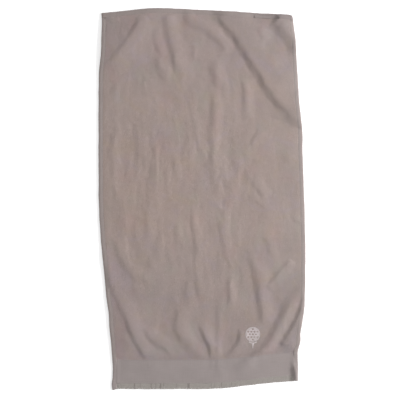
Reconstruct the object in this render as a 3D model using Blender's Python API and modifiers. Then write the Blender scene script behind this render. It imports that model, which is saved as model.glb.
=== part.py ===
"""Golf towel: a terry bath-weight cotton towel with a flat-woven border, a short cut fringe, turned hems and a
small embroidered motif. It lies spread out on a table, face up, as two halves joined by the crease it is folded at.

Frame: +X across the towel, +Y towards the plain hemmed end, +Z up. The origin is at the centre of the bounding box,
on the table. Run it with: blender --background --python part.py
"""

import math

import bmesh
import bpy
from mathutils import Vector

# ---------------------------------------------------------------- driving dimensions, metres
MM = 0.001
WIDTH = 508 * MM  # flat width, selvedge to selvedge (20 in)
LENGTH = 965 * MM  # flat length, plain hem to fringe tips (38 in)

TERRY_THICK = 4.5 * MM  # loop pile on both sides of the ground weave
HEM_THICK = 4.0 * MM  # three plies of the pile-free selvedge strip, turned twice
BAND_THICK = 2.0 * MM  # flat-woven border, no pile
FRINGE_THICK = 1.8 * MM

SIDE_HEM = 12.0 * MM
TOP_HEM = 14.0 * MM
FRINGE_LENGTH = 14.0 * MM
BAND_HEIGHT = 60.0 * MM

GAP = 0.3 * MM  # between neighbouring pieces
CREASE_GAP = 0.6 * MM  # half the clearance between the two halves at the crease
CREASE_HEIGHT = 10.0 * MM  # the crease's axis, above the table: half the height of the towel folded in two

THREAD_R = 0.4 * MM
STITCH_INSET = 1.6 * MM  # a stitch row's distance from the hem's inner edge

TUFTS = 46  # bundles of warp ends in the fringe
TUFT_SHARE = 0.72  # how much of its pitch a bundle fills

MOTIF_CENTRE = (126.5 * MM, -346.5 * MM)
BALL_R = 18.5 * MM
BALL_UP = 7.5 * MM  # ball centre above the motif's centre
MOTIF_THICK = 0.9 * MM
TEE_HEAD = 8.0 * MM  # half the width of the tee's cup
TEE_STEM = 2.4 * MM
TEE_LENGTH = 17.0 * MM
BACKING = (50.0 * MM, 60.0 * MM, 0.5 * MM)

LABEL = (62.0 * MM, 11.0 * MM, 0.5 * MM)
LABEL_X = 158.0 * MM

# ---------------------------------------------------------------- the outline the towel takes when it is spread out
# A towel that has been washed and shaken out isn't a true rectangle. Its sides bow out in the middle, the flat border
# draws the fringed end in, and the right-hand end of the border has been pulled up a little.
HALF_WIDTH = 258.5 * MM  # at its widest
TOP_Y = 476.4 * MM  # the plain hem's highest point, left of the middle
LOW_Y = -475.8 * MM  # the fringe's lowest stretch, left of the middle

LEFT_TOP_IN = (7.0 * MM, 300 * MM, 385 * MM)  # how far a side is drawn in, and between which heights it comes in
LEFT_LOW_IN = (35.5 * MM, 20 * MM, -460 * MM)
RIGHT_TOP_IN = (27.5 * MM, -170 * MM, 421 * MM)
RIGHT_LOW_IN = (19.0 * MM, -230 * MM, -400 * MM)
HEM_LEFT_DROP = (10.5 * MM, -110 * MM, -250 * MM)  # how far an end is drawn back, and between which places across
HEM_RIGHT_DROP = (19.0 * MM, -110 * MM, 240 * MM)
FRINGE_RIGHT_LIFT = (21.0 * MM, 0 * MM, 250 * MM)


def lerp(a, b, t):
    return a + (b - a) * t


def eased(at, amount, start, end):
    """Grows from 0 at start to amount at end, with no corner at either."""
    t = min(max((at - start) / (end - start), 0.0), 1.0)
    return amount * t * t * (3 - 2 * t)


def left_side(y):
    return -HALF_WIDTH + eased(y, *LEFT_TOP_IN) + eased(y, *LEFT_LOW_IN)


def right_side(y):
    amount, start, end = RIGHT_TOP_IN
    swept = max((y - start) / (end - start), 0.0)
    return HALF_WIDTH - amount * swept**1.8 - eased(y, *RIGHT_LOW_IN)


def hem_end(x):
    return TOP_Y - eased(x, *HEM_LEFT_DROP) - eased(x, *HEM_RIGHT_DROP)


def fringe_end(x):
    return LOW_Y + eased(x, *FRINGE_RIGHT_LIFT)


def laid(across, along):
    """Where a point of the flat towel lies: across from 0 (left selvedge) to 1, along from 0 (hem) to 1 (fringe)."""
    x = lerp(-HALF_WIDTH, HALF_WIDTH, across)
    for _ in range(3):
        y = lerp(hem_end(x), fringe_end(x), along)
        x = lerp(left_side(y), right_side(y), across)
    return x, y


STEPS = 36
S_HEM = SIDE_HEM / WIDTH
S_GAP = GAP / WIDTH
T_HEM = TOP_HEM / LENGTH
T_GAP = GAP / LENGTH
T_FRINGE = 1 - FRINGE_LENGTH / LENGTH
T_BAND = T_FRINGE - BAND_HEIGHT / LENGTH

grid = [laid(i / STEPS, k / STEPS) for i in range(STEPS + 1) for k in range(STEPS + 1)]
CENTRE_X = (min(p[0] for p in grid) + max(p[0] for p in grid)) / 2
CENTRE_Y = (min(p[1] for p in grid) + max(p[1] for p in grid)) / 2


def place(across, along):
    x, y = laid(across, along)
    return x - CENTRE_X, y - CENTRE_Y


def along_at(across, y):
    """How far along the towel its point is that lies at that y."""
    low, high = 0.0, 1.0
    for _ in range(40):
        middle = (low + high) / 2
        if place(across, middle)[1] > y:
            low = middle
        else:
            high = middle
    return (low + high) / 2


def knots(a, b, count):
    """The places from a to b, with every multiple of 1/count between them, so that neighbours share their corners."""
    low, high = min(a, b), max(a, b)
    inner = [k / count for k in range(1, count) if low + 1e-4 < k / count < high - 1e-4]
    places = [low, *inner, high]
    return places if a <= b else places[::-1]


LONG_KNOTS = 40
WIDE_KNOTS = 24


def strip(s0, s1, start, end):
    """The outline of a region between two lines across the towel. start and end give along for an across."""
    left = [place(s0, t) for t in knots(start(s0), end(s0), LONG_KNOTS)]
    low = [place(s, end(s)) for s in knots(s0, s1, WIDE_KNOTS)[1:-1]]
    right = [place(s1, t) for t in knots(end(s1), start(s1), LONG_KNOTS)]
    top = [place(s, start(s)) for s in knots(s1, s0, WIDE_KNOTS)[1:-1]]
    return left + low + right + top


# ---------------------------------------------------------------- scene and helpers
for old in list(bpy.data.objects):
    bpy.data.objects.remove(old)

towel = bpy.data.collections.new("golf_towel")
cutters = bpy.data.collections.new("cutters")
bpy.context.scene.collection.children.link(towel)
bpy.context.scene.collection.children.link(cutters)
cutters.hide_render = True


def material(name, colour, roughness):
    m = bpy.data.materials.new(name)
    m.use_nodes = True
    shader = m.node_tree.nodes["Principled BSDF"]
    shader.inputs["Base Color"].default_value = (*colour, 1)
    shader.inputs["Roughness"].default_value = roughness
    shader.inputs["Metallic"].default_value = 0.0
    m.diffuse_color = (*colour, 1)
    return m


TERRY = material("terry", (0.355, 0.285, 0.262), 0.95)
FLAT_WEAVE = material("flat_weave", (0.318, 0.272, 0.262), 0.85)
YARN = material("fringe_yarn", (0.325, 0.290, 0.270), 0.9)
THREAD = material("sewing_thread", (0.300, 0.255, 0.240), 0.6)
WHITE_THREAD = material("embroidery_thread", (0.66, 0.60, 0.60), 0.4)
FLEECE = material("stabiliser", (0.72, 0.71, 0.69), 0.9)
TAPE = material("label_tape", (0.62, 0.60, 0.57), 0.6)


def flat_piece(name, outline, low, high, look, split=None):
    """A piece of even thickness with that outline: a filled 2D curve, extruded to both sides of its middle."""
    data = bpy.data.curves.new(name, "CURVE")
    data.dimensions = "2D"
    data.fill_mode = "BOTH"
    data.extrude = (high - low) / 2
    spline = data.splines.new("POLY")
    spline.points.add(len(outline) - 1)
    for point, (x, y) in zip(spline.points, outline, strict=True):
        point.co = (x, y, 0, 1)
    spline.use_cyclic_u = True
    obj = bpy.data.objects.new(name, data)
    obj.location = (0, 0, (low + high) / 2)
    obj.data.materials.append(look)
    towel.objects.link(obj)
    return obj


def thread(name, line, radius=THREAD_R, closed=False, look=THREAD):
    """A sewing thread that runs along the surface through those points."""
    data = bpy.data.curves.new(name, "CURVE")
    data.dimensions = "3D"
    data.bevel_depth = radius
    data.bevel_resolution = 1
    data.use_fill_caps = True
    spline = data.splines.new("POLY")
    spline.points.add(len(line) - 1)
    for point, (x, y, z) in zip(spline.points, line, strict=True):
        point.co = (x, y, z, 1)
    spline.use_cyclic_u = closed
    obj = bpy.data.objects.new(name, data)
    obj.data.materials.append(look)
    towel.objects.link(obj)
    return obj


def as_mesh(obj):
    """A curve object made a mesh, with its caps welded on, so that it can be cut."""
    bpy.context.view_layer.update()
    graph = bpy.context.evaluated_depsgraph_get()
    mesh = bpy.data.meshes.new_from_object(obj.evaluated_get(graph))
    work = bmesh_from(mesh)
    bmesh.ops.remove_doubles(work, verts=work.verts, dist=1e-6)
    bmesh.ops.recalc_face_normals(work, faces=work.faces)
    work.to_mesh(mesh)
    work.free()
    name, matrix = obj.name, obj.matrix_world.copy()
    bpy.data.objects.remove(obj)
    made = bpy.data.objects.new(name, mesh)
    made.matrix_world = matrix
    towel.objects.link(made)
    return made


def bmesh_from(mesh):
    work = bmesh.new()
    work.from_mesh(mesh)
    return work


def pocket(obj, x, y, size, depth, turn=0.0):
    """Presses a shallow rectangular recess into a piece's underside, where something is sewn flat against it."""
    bpy.ops.mesh.primitive_cube_add(size=1, location=(x, y, depth / 2 - depth), rotation=(0, 0, turn))
    cutter = bpy.context.object
    cutter.name = obj.name + "_pocket"
    for c in list(cutter.users_collection):
        c.objects.unlink(cutter)
    cutters.objects.link(cutter)
    cutter.scale = (size[0], size[1], 3 * depth)
    cutter.hide_render = True
    cutter.display_type = "WIRE"
    cut = obj.modifiers.new("pocket", "BOOLEAN")
    cut.operation = "DIFFERENCE"
    cut.solver = "EXACT"
    cut.object = cutter


def box_piece(name, size, centre, look, turn=0.0):
    bpy.ops.mesh.primitive_cube_add(size=1, location=centre, rotation=(0, 0, turn))
    obj = bpy.context.object
    obj.name = name
    for c in list(obj.users_collection):
        c.objects.unlink(obj)
    towel.objects.link(obj)
    for v in obj.data.vertices:
        v.co = Vector((v.co.x * size[0], v.co.y * size[1], v.co.z * size[2]))
    obj.data.materials.append(look)
    return obj


# ---------------------------------------------------------------- cloth panels
S0, S1 = S_HEM + S_GAP, 1 - S_HEM - S_GAP


def crease_up(s):
    return along_at(s, CREASE_GAP)


def crease_down(s):
    return along_at(s, -CREASE_GAP)


terry_upper = flat_piece(
    "terry_panel_upper",
    strip(S0, S1, lambda s: T_HEM + T_GAP, crease_up),
    0, TERRY_THICK, TERRY,
)  # fmt: skip
terry_lower = flat_piece(
    "terry_panel_lower",
    strip(S0, S1, crease_down, lambda s: T_BAND - T_GAP),
    0, TERRY_THICK, TERRY,
)  # fmt: skip
border = flat_piece(
    "border_band",
    strip(S0, S1, lambda s: T_BAND, lambda s: T_FRINGE - T_GAP),
    0, BAND_THICK, FLAT_WEAVE,
)  # fmt: skip

# ---------------------------------------------------------------- fringe: a heading with a bundle of cut warp ends at each pitch
HEADING = T_FRINGE + 1.5 * MM / LENGTH
comb = [place(S0, T_FRINGE)]
for i in range(TUFTS):
    a = lerp(S0, S1, (i + (1 - TUFT_SHARE) / 2) / TUFTS)
    b = lerp(S0, S1, (i + (1 + TUFT_SHARE) / 2) / TUFTS)
    tip = 1 - (0.6 + 0.5 * math.sin(i * 2.399)) * MM / LENGTH
    comb += [place(a, HEADING), place(a, tip), place(b, tip), place(b, HEADING)]
comb += [place(S1, T_FRINGE)]
comb += [place(lerp(S1, S0, i / 20), T_FRINGE) for i in range(1, 20)]
comb[0:1] = [place(S0, T_FRINGE), place(S0, HEADING)]
comb.insert(comb.index(place(S1, T_FRINGE)), place(S1, HEADING))
fringe = flat_piece("border_fringe", comb, 0, FRINGE_THICK, YARN)

# ---------------------------------------------------------------- hems
top_hem = flat_piece(
    "top_hem",
    strip(0, 1, lambda s: 0.0, lambda s: T_HEM),
    0, HEM_THICK, FLAT_WEAVE,
)  # fmt: skip
for side, s_out, s_in in (("left", 0.0, S_HEM), ("right", 1.0, 1 - S_HEM)):
    a, b = min(s_out, s_in), max(s_out, s_in)
    flat_piece(
        f"{side}_hem_upper",
        strip(a, b, lambda s: T_HEM + T_GAP, crease_up),
        0, HEM_THICK, FLAT_WEAVE,
    )  # fmt: skip
    flat_piece(
        f"{side}_hem_lower",
        strip(a, b, crease_down, lambda s: 1.0),
        0, HEM_THICK, FLAT_WEAVE,
    )  # fmt: skip

# ---------------------------------------------------------------- stitch rows, along the hems' inner edges
ROW_Z = HEM_THICK + GAP + THREAD_R
S_ROW = S_HEM - STITCH_INSET / WIDTH
T_ROW = T_HEM - STITCH_INSET / LENGTH
thread("top_hem_stitching", [(*place(lerp(0.004, 0.996, i / 24), T_ROW), ROW_Z) for i in range(25)])
for side, s in (("left", S_ROW), ("right", 1 - S_ROW)):
    a, b = T_HEM + 3 * T_GAP, along_at(s, CREASE_GAP + 1 * MM)
    thread(f"{side}_hem_stitching_upper", [(*place(s, lerp(a, b, i / 20)), ROW_Z) for i in range(21)])
    a, b = along_at(s, -CREASE_GAP - 1 * MM), 1 - 2 * MM / LENGTH
    thread(f"{side}_hem_stitching_lower", [(*place(s, lerp(a, b, i / 20)), ROW_Z) for i in range(21)])
LOCK_Z = BAND_THICK + GAP + THREAD_R
T_LOCK = T_FRINGE - 2.0 * MM / LENGTH
thread(
    "fringe_lock_stitching",
    [
        (*place(lerp(S0 + 0.004, S1 - 0.004, i / 60), T_LOCK + (1 if i % 2 else -1) * 0.7 * MM / LENGTH), LOCK_Z)
        for i in range(61)
    ],
)

# ---------------------------------------------------------------- embroidered motif: a ball on a tee, with its backing
MOTIF_X, MOTIF_Y = MOTIF_CENTRE[0] - CENTRE_X, MOTIF_CENTRE[1] - CENTRE_Y
FACE = TERRY_THICK + GAP
bpy.ops.mesh.primitive_cylinder_add(
    vertices=40, radius=BALL_R, depth=MOTIF_THICK, location=(MOTIF_X, MOTIF_Y + BALL_UP, FACE + MOTIF_THICK / 2)
)
ball = bpy.context.object
ball.name = "motif_ball"
for c in list(ball.users_collection):
    c.objects.unlink(ball)
towel.objects.link(ball)
ball.data.materials.append(WHITE_THREAD)
dome = ball.modifiers.new("rounded_rim", "BEVEL")
dome.width = 0.35 * MM
dome.segments = 2
dome.limit_method = "ANGLE"

TEE_TOP = MOTIF_Y + BALL_UP - BALL_R - GAP
tee_outline = []
for i in range(9):
    # the cup's top is hollowed to the ball's own curve
    x = lerp(-TEE_HEAD, TEE_HEAD, i / 8)
    tee_outline.append((MOTIF_X + x, TEE_TOP + BALL_R - math.sqrt(BALL_R**2 - x * x)))
tee_outline += [
    (MOTIF_X + TEE_HEAD * 0.96, TEE_TOP + 0.2 * MM),
    (MOTIF_X + TEE_STEM * 1.5, TEE_TOP - TEE_LENGTH * 0.30),
    (MOTIF_X + TEE_STEM, TEE_TOP - TEE_LENGTH * 0.45),
    (MOTIF_X + 0.5 * MM, TEE_TOP - TEE_LENGTH * 0.94),
    (MOTIF_X - 0.5 * MM, TEE_TOP - TEE_LENGTH * 0.94),
    (MOTIF_X - TEE_STEM, TEE_TOP - TEE_LENGTH * 0.45),
    (MOTIF_X - TEE_STEM * 1.5, TEE_TOP - TEE_LENGTH * 0.30),
    (MOTIF_X - TEE_HEAD * 0.96, TEE_TOP + 0.2 * MM),
]
flat_piece("motif_tee", tee_outline, FACE, FACE + MOTIF_THICK, WHITE_THREAD)

terry_lower = as_mesh(terry_lower)
terry_lower.data.materials.clear()
terry_lower.data.materials.append(TERRY)
pocket(terry_lower, MOTIF_X, MOTIF_Y, (BACKING[0] + 2 * GAP, BACKING[1] + 2 * GAP), BACKING[2] + GAP)
box_piece("motif_backing", BACKING, (MOTIF_X, MOTIF_Y, BACKING[2] / 2), FLEECE)

# ---------------------------------------------------------------- blank label, sewn flat under the plain hem
label_s = (LABEL_X - left_side(TOP_Y)) / (right_side(TOP_Y) - left_side(TOP_Y))
lx, ly = place(label_s, T_HEM * 0.5)
ax, ay = place(label_s - 0.04, T_HEM * 0.5)
bx, by = place(label_s + 0.04, T_HEM * 0.5)
TILT = math.atan2(by - ay, bx - ax)
top_hem = as_mesh(top_hem)
top_hem.data.materials.clear()
top_hem.data.materials.append(FLAT_WEAVE)
pocket(top_hem, lx, ly, (LABEL[0] + 2 * GAP, LABEL[1] + 2 * GAP), LABEL[2] + GAP, TILT)
box_piece("care_label", LABEL, (lx, ly, LABEL[2] / 2), TAPE, TILT)
corners = []
for u, v in ((-1, -1), (0, -1), (1, -1), (1, 1), (0, 1), (-1, 1)):
    dx, dy = u * (LABEL[0] / 2 - 1.5 * MM), v * (LABEL[1] / 2 - 3.2 * MM)
    corners.append(
        (lx + dx * math.cos(TILT) - dy * math.sin(TILT), ly + dx * math.sin(TILT) + dy * math.cos(TILT) + 0.8 * MM, ROW_Z)
    )
thread("care_label_stitching", corners, closed=True)

# ---------------------------------------------------------------- the two halves, each under an empty
# The lower half turns about the crease, a line across the towel at mid length, so its empty stands on that line.
LOWER = (
    "terry_panel_lower", "left_hem_lower", "right_hem_lower", "left_hem_stitching_lower",
    "right_hem_stitching_lower", "border_band", "border_fringe", "fringe_lock_stitching",
    "motif_ball", "motif_tee", "motif_backing",
)  # fmt: skip
halves = {}
for half, height in (("upper_half", 0.0), ("lower_half", CREASE_HEIGHT)):
    empty = bpy.data.objects.new(half, None)
    empty.empty_display_size = 0.05
    empty.location = (0, 0, height)
    towel.objects.link(empty)
    halves[half] = empty
bpy.context.view_layer.update()
for obj in list(towel.objects):
    if obj.type == "EMPTY":
        continue
    parent = halves["lower_half" if obj.name in LOWER else "upper_half"]
    obj.parent = parent
    obj.matrix_parent_inverse = parent.matrix_world.inverted()
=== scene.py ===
"""The looks of the golf towel: terry cloth with its folds, flat-woven border, hems, stitches, fringe and embroidery."""

import math

import bpy
import numpy as np
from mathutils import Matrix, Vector


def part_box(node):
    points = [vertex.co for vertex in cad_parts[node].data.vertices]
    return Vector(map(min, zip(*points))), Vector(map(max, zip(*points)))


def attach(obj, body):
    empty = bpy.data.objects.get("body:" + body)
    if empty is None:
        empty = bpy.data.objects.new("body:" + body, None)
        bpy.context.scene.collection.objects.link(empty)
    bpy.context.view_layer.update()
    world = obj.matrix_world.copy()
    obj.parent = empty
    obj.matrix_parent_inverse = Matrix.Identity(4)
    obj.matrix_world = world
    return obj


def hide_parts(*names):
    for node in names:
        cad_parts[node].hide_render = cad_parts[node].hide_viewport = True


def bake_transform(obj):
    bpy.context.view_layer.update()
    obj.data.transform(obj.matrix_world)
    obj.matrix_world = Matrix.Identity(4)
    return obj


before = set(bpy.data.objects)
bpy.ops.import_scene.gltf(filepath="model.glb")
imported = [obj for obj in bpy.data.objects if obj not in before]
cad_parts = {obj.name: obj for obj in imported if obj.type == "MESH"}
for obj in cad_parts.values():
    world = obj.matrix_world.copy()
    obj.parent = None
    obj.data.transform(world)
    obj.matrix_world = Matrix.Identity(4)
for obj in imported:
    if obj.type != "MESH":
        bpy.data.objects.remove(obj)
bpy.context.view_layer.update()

MM = 0.001

# ================================================================ the towel's own layout, in millimetres, as in the CAD
WIDTH, LENGTH = 508.0, 965.0
SIDE_HEM, TOP_HEM = 12.0, 14.0
FRINGE_LENGTH, BAND_HEIGHT = 14.0, 60.0
HALF_WIDTH, TOP_Y, LOW_Y = 258.5, 476.4, -475.8
CREASE_HEIGHT = 10.0
S_HEM = SIDE_HEM / WIDTH
T_HEM = TOP_HEM / LENGTH
T_FRINGE = 1 - FRINGE_LENGTH / LENGTH
T_BAND = T_FRINGE - BAND_HEIGHT / LENGTH
BALL_R, BALL_UP = 18.5, 7.5

TERRY_T, BAND_T, HEM_T = 4.2, 1.9, 4.0  # thicknesses


def ease(t):
    t = np.clip(t, 0.0, 1.0)
    return t * t * (3 - 2 * t)


def eased(at, amount, start, end):
    return amount * ease((at - start) / (end - start))


def left_side(y):
    return -HALF_WIDTH + eased(y, 7.0, 300, 385) + eased(y, 35.5, 20, -460)


def right_side(y):
    swept = np.maximum((y + 170.0) / 591.0, 0.0)
    return HALF_WIDTH - 27.5 * swept**1.8 - eased(y, 19.0, -230, -400)


def hem_end(x):
    return TOP_Y - eased(x, 10.5, -110, -250) - eased(x, 19.0, -110, 240)


def fringe_end(x):
    return LOW_Y + eased(x, 21.0, 0, 250)


def laid_raw(s, t):
    s, t = np.asarray(s, float), np.asarray(t, float)
    x = -HALF_WIDTH + 2 * HALF_WIDTH * s
    for _ in range(3):
        y = hem_end(x) * (1 - t) + fringe_end(x) * t
        x = left_side(y) * (1 - s) + right_side(y) * s
    return x, y


_gx, _gy = laid_raw(*np.meshgrid(np.linspace(0, 1, 37), np.linspace(0, 1, 37)))
CENTRE_X, CENTRE_Y = (_gx.min() + _gx.max()) / 2, (_gy.min() + _gy.max()) / 2


# ---------------------------------------------------------------- smooth seeded noise
def noise2(x, y, seed):
    """Gradient noise, about -1 to 1, smooth, with features about one unit across."""
    x, y = np.asarray(x, float), np.asarray(y, float)
    table = np.random.RandomState(seed)
    angle = table.uniform(0, 2 * math.pi, 4096)
    order = table.permutation(4096)
    xi, yi = np.floor(x).astype(int), np.floor(y).astype(int)
    fx, fy = x - xi, y - yi

    def corner(ix, iy, dx, dy):
        h = order[(order[ix & 4095] + iy) & 4095]
        return np.cos(angle[h]) * dx + np.sin(angle[h]) * dy

    u, v = fx**3 * (fx * (fx * 6 - 15) + 10), fy**3 * (fy * (fy * 6 - 15) + 10)
    a = corner(xi, yi, fx, fy) * (1 - u) + corner(xi + 1, yi, fx - 1, fy) * u
    b = corner(xi, yi + 1, fx, fy - 1) * (1 - u) + corner(xi + 1, yi + 1, fx - 1, fy - 1) * u
    return (a * (1 - v) + b * v) * 1.5


def bump(d, width):
    return np.exp(-((d / width) ** 2))


def laid(s, t):
    """Where a point of the flat towel lies, with the small unevenness of its edges."""
    x, y = laid_raw(s, t)
    x, y = x - CENTRE_X, y - CENTRE_Y
    s, t = np.asarray(s, float), np.asarray(t, float)
    near_l, near_r = ease(1 - s / 0.06), ease(1 - (1 - s) / 0.06)
    near_t, near_b = ease(1 - t / 0.04), ease(1 - (1 - t) / 0.04)
    x = x + near_l * (0.8 * noise2(y / 41, 0 * y + 3.3, 5) + 0.22 * noise2(y / 15, 0 * y + 1.3, 6))
    x = x + near_r * (0.8 * noise2(y / 43, 0 * y + 7.3, 7) + 0.25 * noise2(y / 15, 0 * y + 4.3, 8))
    y = y + near_t * (0.8 * noise2(x / 36, 0 * x + 2.3, 9) + 0.4 * noise2(x / 13, 0 * x + 5.3, 10))
    y = y + near_t * (-1.0 + 3.4 * ease((x + 30) / 230) - 1.2 * ease((-x - 190) / 60))
    y = y + near_b * (0.7 * noise2(x / 30, 0 * x + 8.3, 11))
    # the selvedge stands out a little above the border and is drawn in beside it
    x = x + near_r * (3.2 * bump(y + 356, 14) - 1.2 * bump(y + 384, 9))
    x = x + near_r * (2.2 * bump(y - 165, 35) - 2.2 * bump(y - 258, 45) - 1.5 * bump(y + 237, 30) - 1.5 * bump(y - 438, 20))
    x = x + near_l * (1.6 * bump(y - 438, 25) - 1.6 * bump(y + 240, 30) - 1.2 * bump(y + 327, 30) - 3.0 * bump(y + 465, 12))
    # rounded corner at the plain hem's right end, pointed tip at the fringe's left end
    corner = bump(np.hypot(x - 231, y - 459), 10)
    x, y = x - 2.6 * corner, y - 3.0 * corner
    y = y - 3.2 * bump(np.hypot(x + 222, (y + 474) / 1.6), 6)
    return x, y


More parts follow.
